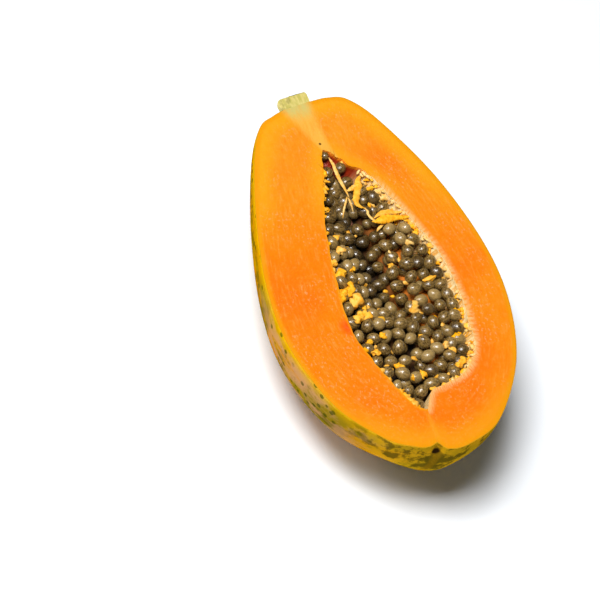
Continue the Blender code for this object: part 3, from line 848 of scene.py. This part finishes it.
def strand(spots, widths, flatness, sides, seed, lumpiness=0.35):
    """Corners and faces of one closed, lumpy string that follows spots, widths wide at each."""
    corners = []
    last = len(spots) - 1
    for k, (spot, width) in enumerate(zip(spots, widths)):
        ahead = (spots[min(k + 1, last)] - spots[max(k - 1, 0)]).normalized()
        side = ahead.cross(Vector((0, 0, 1))).normalized()
        up = side.cross(ahead)
        taper = math.sqrt(max(0.03, min(1.0, 3.0 * k / last, 3.0 * (last - k) / last)))
        for turn in range(sides):
            angle = 2 * math.pi * turn / sides
            rough = noise.noise((seed + k * 0.45, 1.3 * math.cos(angle), 1.3 * math.sin(angle)))
            lump = 1 + lumpiness * rough
            reach = width / 2 * taper * lump
            corners.append(spot + side * math.cos(angle) * reach + up * math.sin(angle) * reach * flatness)
    skin = [tuple(range(sides)), tuple(reversed(range(last * sides, (last + 1) * sides)))]
    for k in range(last):
        for turn in range(sides):
            n = (turn + 1) % sides
            a = k * sides
            skin.append((a + n, a + turn, a + sides + turn, a + sides + n))
    return corners, skin


def strings_mesh(name, strings):
    """One mesh of many strings, each given as its corners, faces and share of yellow."""
    corners = []
    skins = []
    yolks = []
    for own_corners, own_skin, yolk in strings:
        first = len(corners)
        corners += own_corners
        skins += [tuple(first + k for k in face) for face in own_skin]
        yolks += [yolk] * len(own_corners)
    made = bpy.data.meshes.new(name)
    made.from_pydata(corners, [], skins)
    made.attributes.new("yolk", "FLOAT", "POINT").data.foreach_set("value", np.array(yolks, np.float32))
    made.shade_smooth()
    return made


threads = []
for number, (yolk, line) in enumerate(THREADS):
    steps = THREAD_STEPS * (len(line) - 1)
    spots = [smooth_point([stop[:3] for stop in line], k / steps) for k in range(steps + 1)]
    spots = [Vector((spot.x, spot.y, spot.z + FACE_HEIGHT)) for spot in spots]
    widths = [smooth_point([(stop[3], 0.0) for stop in line], k / steps).x for k in range(steps + 1)]
    corners, skin = strand(spots, widths, THREAD_FLATNESS, THREAD_SIDES, 7.0 * number)
    threads.append((corners, skin, yolk))
threads_mesh = strings_mesh("placenta_threads", threads)
placenta_threads = bpy.data.objects.new("placenta_threads", threads_mesh)
bpy.context.scene.collection.objects.link(placenta_threads)

soft_string, tree, shader = finish_of("soft_string")
where = put(tree, "ShaderNodeTexCoord").outputs["Object"]
fibres = mottle(tree, where, 520.0, 3.0, 0.6)
pale = over(tree, between(tree, fibres, 0.35, 0.65), tint(262, 206, 100), tint(275, 244, 176))
yellow = over(tree, between(tree, fibres, 0.35, 0.65), tint(282, 184, 0), tint(292, 214, 0))
colour = over(tree, attribute(tree, "yolk"), pale, yellow)
tree.links.new(colour, shader.inputs["Base Color"])
tree.links.new(between(tree, fibres, 0.3, 0.7, 0.3, 0.5), shader.inputs["Roughness"])
shader.inputs["Specular IOR Level"].default_value = 0.08
relief(tree, shader, fibres, 0.2 * MM, 0.3)
threads_mesh.materials.append(soft_string)
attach(placenta_threads, "root")


# Seed strings: the short soft stalks that held the seeds to the wall, torn by the knife.
# They stand as cream fibres and lumps down the right wall, and as yellow crumbs at both rims
# and between the seeds. Crumbs are given by place, length, width, turn and share of yellow.

CRUMBS = [
    (20.7, 10.5, 4.4, 3.2, 0.4, 0.3), (26.1, 13.3, 3.0, 2.0, 1.2, 0.9),
    (28.8, 6.6, 3.2, 2.2, 0.3, 0.7), (10.1, 1.9, 2.6, 2.4, 1.0, 0.8),
    (11.6, 6.3, 4.4, 1.0, 1.7, 0.3), (22.5, -9.3, 5.6, 1.6, 0.1, 0.8),
    (11.6, -21.2, 5.2, 3.6, 1.1, 0.6), (-7.2, -27.0, 3.4, 2.8, 0.2, 0.9),
    (-8.7, -33.2, 3.2, 2.0, 2.2, 0.9), (-7.0, -48.2, 4.0, 2.4, -0.5, 0.9),
    (1.9, -54.1, 2.8, 2.4, 0.5, 0.9), (-3.0, -54.7, 2.4, 1.8, 1.4, 0.9),
    (16.7, -42.0, 2.8, 2.4, 1.2, 0.5), (27.6, -26.9, 4.2, 2.6, 0.0, 1.0),
    (23.6, -38.4, 4.2, 2.2, 0.2, 1.0), (18.9, -44.9, 3.0, 2.2, 0.7, 0.7),
    (20.6, -51.4, 5.6, 2.8, 0.5, 0.8), (-15.0, -14.2, 6.4, 4.6, 0.8, 0.7),
    (-12.6, -21.6, 5.6, 3.4, -0.6, 0.8), (-15.9, -8.6, 6.2, 3.6, 1.0, 0.9),
    (-16.8, -1.3, 5.6, 3.4, 0.3, 0.9), (-18.4, -11.4, 4.6, 3.0, 0.9, 0.9),
    (-16.4, -23.9, 4.8, 3.0, 0.4, 0.8), (-15.1, -40.4, 4.0, 2.2, -0.4, 0.8),
    (-16.0, -35.6, 3.0, 1.8, 0.3, 0.9), (-12.6, 18.0, 5.6, 1.8, 0.1, 0.8),
    (-11.4, 10.5, 4.6, 2.6, 0.2, 0.5), (-8.4, 33.6, 3.2, 2.4, 1.4, 0.9),
    (-9.4, 2.0, 3.4, 2.0, 0.2, 0.9), (7.8, -37.0, 2.8, 1.8, 1.0, 0.8),
    (17.0, 33.4, 3.0, 2.4, 0.6, 0.2), (13.6, 39.6, 4.2, 1.4, 0.1, 0.9),
    (-12.1, -49.2, 3.0, 1.8, 0.0, 0.8),
]
CRUMB_LIFT = 1.4 * MM
FIBRE_COUNT = 90
WALL_LUMP_COUNT = 110
RIM_CRUMB_COUNT = 64
CRUMB_COUNT = 40
STRING_SIDES = 7
WALL_LUMP_SIDES = 9
RIM_CRUMB_SIDES = 10
LARGE_CRUMB_SIDES = 14
FIBRE_STEPS = 6
RIM_CRUMB_STEPS = 7
LARGE_CRUMB_STEPS = 10
SMALL_CRUMB_STEPS = 5
STRING_DRAW = 7
draw = random.Random(STRING_DRAW)
strings = []
for number in range(FIBRE_COUNT):
    t = 0.84 - 0.5 * draw.random() ** 1.2
    start = draw.uniform(0.0, 0.4)
    reach = draw.uniform(0.2, 0.6)
    slant = draw.uniform(-0.012, 0.012)
    width = draw.uniform(0.4, 0.9) * MM
    lift = draw.uniform(0.1, 0.45) * MM
    shares = [k / FIBRE_STEPS for k in range(FIBRE_STEPS + 1)]
    spots = []
    for share in shares:
        spots.append(cavity_point(t + slant * share, start + reach * share, lift * (0.4 + share)))
    corners, skin = strand(spots, [width] * len(spots), 0.8, STRING_SIDES, 3.0 * number)
    strings.append((corners, skin, draw.choice((0.0, 0.0, 0.2, 0.7))))
for number in range(WALL_LUMP_COUNT):
    width = draw.uniform(1.0, 2.3) * MM
    middle = cavity_point(draw.uniform(0.3, 0.8), draw.uniform(0.04, 0.5), 0.4 * MM)
    middle.z = min(middle.z, FACE_HEIGHT - width * 0.55)
    ahead = Vector((draw.uniform(-0.5, 0.8), draw.uniform(-1, 1), draw.uniform(-0.3, 0.1))).normalized()
    length = draw.uniform(1.4, 3.6) * MM
    spots = [middle + ahead * length * (k / FIBRE_STEPS - 0.5) for k in range(FIBRE_STEPS + 1)]
    corners, skin = strand(spots, [width] * len(spots), 0.8, WALL_LUMP_SIDES, 4.0 * number, 1.1)
    strings.append((corners, skin, draw.choice((0.0, 0.15, 0.4, 0.9))))
for number in range(RIM_CRUMB_COUNT):
    t = draw.uniform(0.2, 0.9)
    right = draw.random() < 0.3
    foot = cavity_point(t, 0.1 if right else math.pi) - Vector((0, 0, draw.uniform(0.9, 1.7) * MM))
    inward = Vector((-1.0 if right else 1.0, draw.uniform(-0.6, 0.6), draw.uniform(-0.25, 0.0))).normalized()
    length = draw.uniform(2.0, 5.0) * MM
    width = draw.uniform(1.3, 3.0) * MM
    spots = [foot + inward * length * (k / RIM_CRUMB_STEPS - 0.25) for k in range(RIM_CRUMB_STEPS + 1)]
    corners, skin = strand(spots, [width] * len(spots), 0.7, RIM_CRUMB_SIDES, 5.0 * number, 1.2)
    strings.append((corners, skin, draw.uniform(0.6, 1.0)))
for number, (x, y, length, width, turn, yolk) in enumerate(CRUMBS):
    middle = Vector((x, y)) * MM
    middle = Vector((*middle, FACE_HEIGHT - max(heap_depth(middle) - CRUMB_LIFT, width / 2 * MM)))
    ahead = Vector((math.cos(turn), math.sin(turn), 0.15))
    bow = Vector((-math.sin(turn), math.cos(turn), 0.0)) * width * MM * draw.uniform(-0.5, 0.5)
    reach = 1.2 * length * MM
    shares = [k / LARGE_CRUMB_STEPS for k in range(LARGE_CRUMB_STEPS + 1)]
    spots = [middle + ahead * reach * (share - 0.5) + bow * math.sin(math.pi * share) for share in shares]
    widths = [1.15 * width * MM] * len(spots)
    corners, skin = strand(spots, widths, 0.75, LARGE_CRUMB_SIDES, 9.0 * number, 1.3)
    strings.append((corners, skin, yolk))
outline = rim_outline()
crumb_total = len(strings) + CRUMB_COUNT
while len(strings) < crumb_total:
    place = Vector((draw.uniform(-22, 32), draw.uniform(-68, 50))) * MM
    if nearest_on(outline, place)[0] < 2.5 * MM:
        continue
    if min((place - middle.xy).length for middle in top_seeds) < 2.7 * MM:
        continue
    middle = Vector((place.x, place.y, FACE_HEIGHT - heap_depth(place) + draw.uniform(-1.2, 0.4) * MM))
    ahead = Vector((draw.uniform(-1, 1), draw.uniform(-1, 1), draw.uniform(-0.5, 0.5))).normalized()
    length = draw.uniform(1.8, 4.0) * MM
    spots = [middle + ahead * length * (k / SMALL_CRUMB_STEPS - 0.5) for k in range(SMALL_CRUMB_STEPS + 1)]
    widths = [draw.uniform(1.1, 2.2) * MM] * len(spots)
    corners, skin = strand(spots, widths, 0.8, STRING_SIDES, float(len(strings)), 1.2)
    strings.append((corners, skin, draw.uniform(0.5, 1.0)))
torn_strings = strings_mesh("seed_strings", strings)
torn_strings.materials.append(soft_string)
seed_strings = bpy.data.objects.new("seed_strings", torn_strings)
bpy.context.scene.collection.objects.link(seed_strings)
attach(seed_strings, "root")


# The table, the lamps and the camera: a sheet of matt white card under two soft lamps.
# The large lamp hangs high on the left and the small one stands beyond it. The air of the
# room glows a little, more near the table than overhead.

TABLE_REACH = 3
HIGH_LAMP = (-0.42, 0.02, 1.08)
LEFT_LAMP = (-0.8, 0.2, 0.65)
LAMP_AIM = (0.0, 0.0, 0.03)
VIEW_FROM = (-0.48076, -0.48044, 0.9162)
VIEW_ALONG = Vector((0.4092, 0.4353, -0.8019))
VIEW_ROLL = math.radians(28.15)
floor_mesh = bpy.data.meshes.new("white_table")
table_corners = [(x * TABLE_REACH, y * TABLE_REACH, 0) for x, y in ((-1, -1), (1, -1), (1, 1), (-1, 1))]
floor_mesh.from_pydata(table_corners, [], [(0, 1, 2, 3)])
white_table = bpy.data.objects.new("white_table", floor_mesh)
bpy.context.scene.collection.objects.link(white_table)
white_card, tree, shader = finish_of("white_card")
where = put(tree, "ShaderNodeTexCoord").outputs["Object"]
colour = over(tree, mottle(tree, where, 2.0, 2.0), (0.86, 0.89, 0.93, 1.0), (0.88, 0.91, 0.95, 1.0))
tree.links.new(colour, shader.inputs["Base Color"])
shader.inputs["Roughness"].default_value = 0.8
floor_mesh.materials.append(white_card)


def soft_lamp(name, place, aim, width, watts):
    lamp = bpy.data.lights.new(name, "AREA")
    lamp.shape = "SQUARE"
    lamp.size = width
    lamp.energy = watts
    made = bpy.data.objects.new(name, lamp)
    made.location = place
    made.rotation_euler = (Vector(aim) - Vector(place)).to_track_quat("-Z", "Y").to_euler()
    bpy.context.scene.collection.objects.link(made)


soft_lamp("high_softbox", HIGH_LAMP, LAMP_AIM, 0.45, 19.0)
soft_lamp("left_softbox", LEFT_LAMP, LAMP_AIM, 0.3, 1.8)

studio_air = bpy.data.worlds.new("studio_air")
studio_air.use_nodes = True
tree = studio_air.node_tree
direction = put(tree, "ShaderNodeTexCoord").outputs["Generated"]
height = put(tree, "ShaderNodeSeparateXYZ", None, Vector=direction)
glow = tree.nodes["Background"]
glow.inputs["Color"].default_value = (1.0, 1.0, 1.0, 1.0)
tree.links.new(between(tree, height.outputs["Z"], 0.05, 0.3, 0.5, 0.07), glow.inputs["Strength"])
bpy.context.scene.world = studio_air
bpy.context.scene.view_settings.view_transform = "Standard"

view = bpy.data.cameras.new("view")
view.lens = 156.0
view.sensor_width = 36.0
camera = bpy.data.objects.new("view", view)
camera.location = VIEW_FROM
camera.rotation_mode = "QUATERNION"
camera.rotation_quaternion = VIEW_ALONG.to_track_quat("-Z", "Y") @ Quaternion((0, 0, 1), VIEW_ROLL)
bpy.context.scene.collection.objects.link(camera)
bpy.context.scene.camera = camera
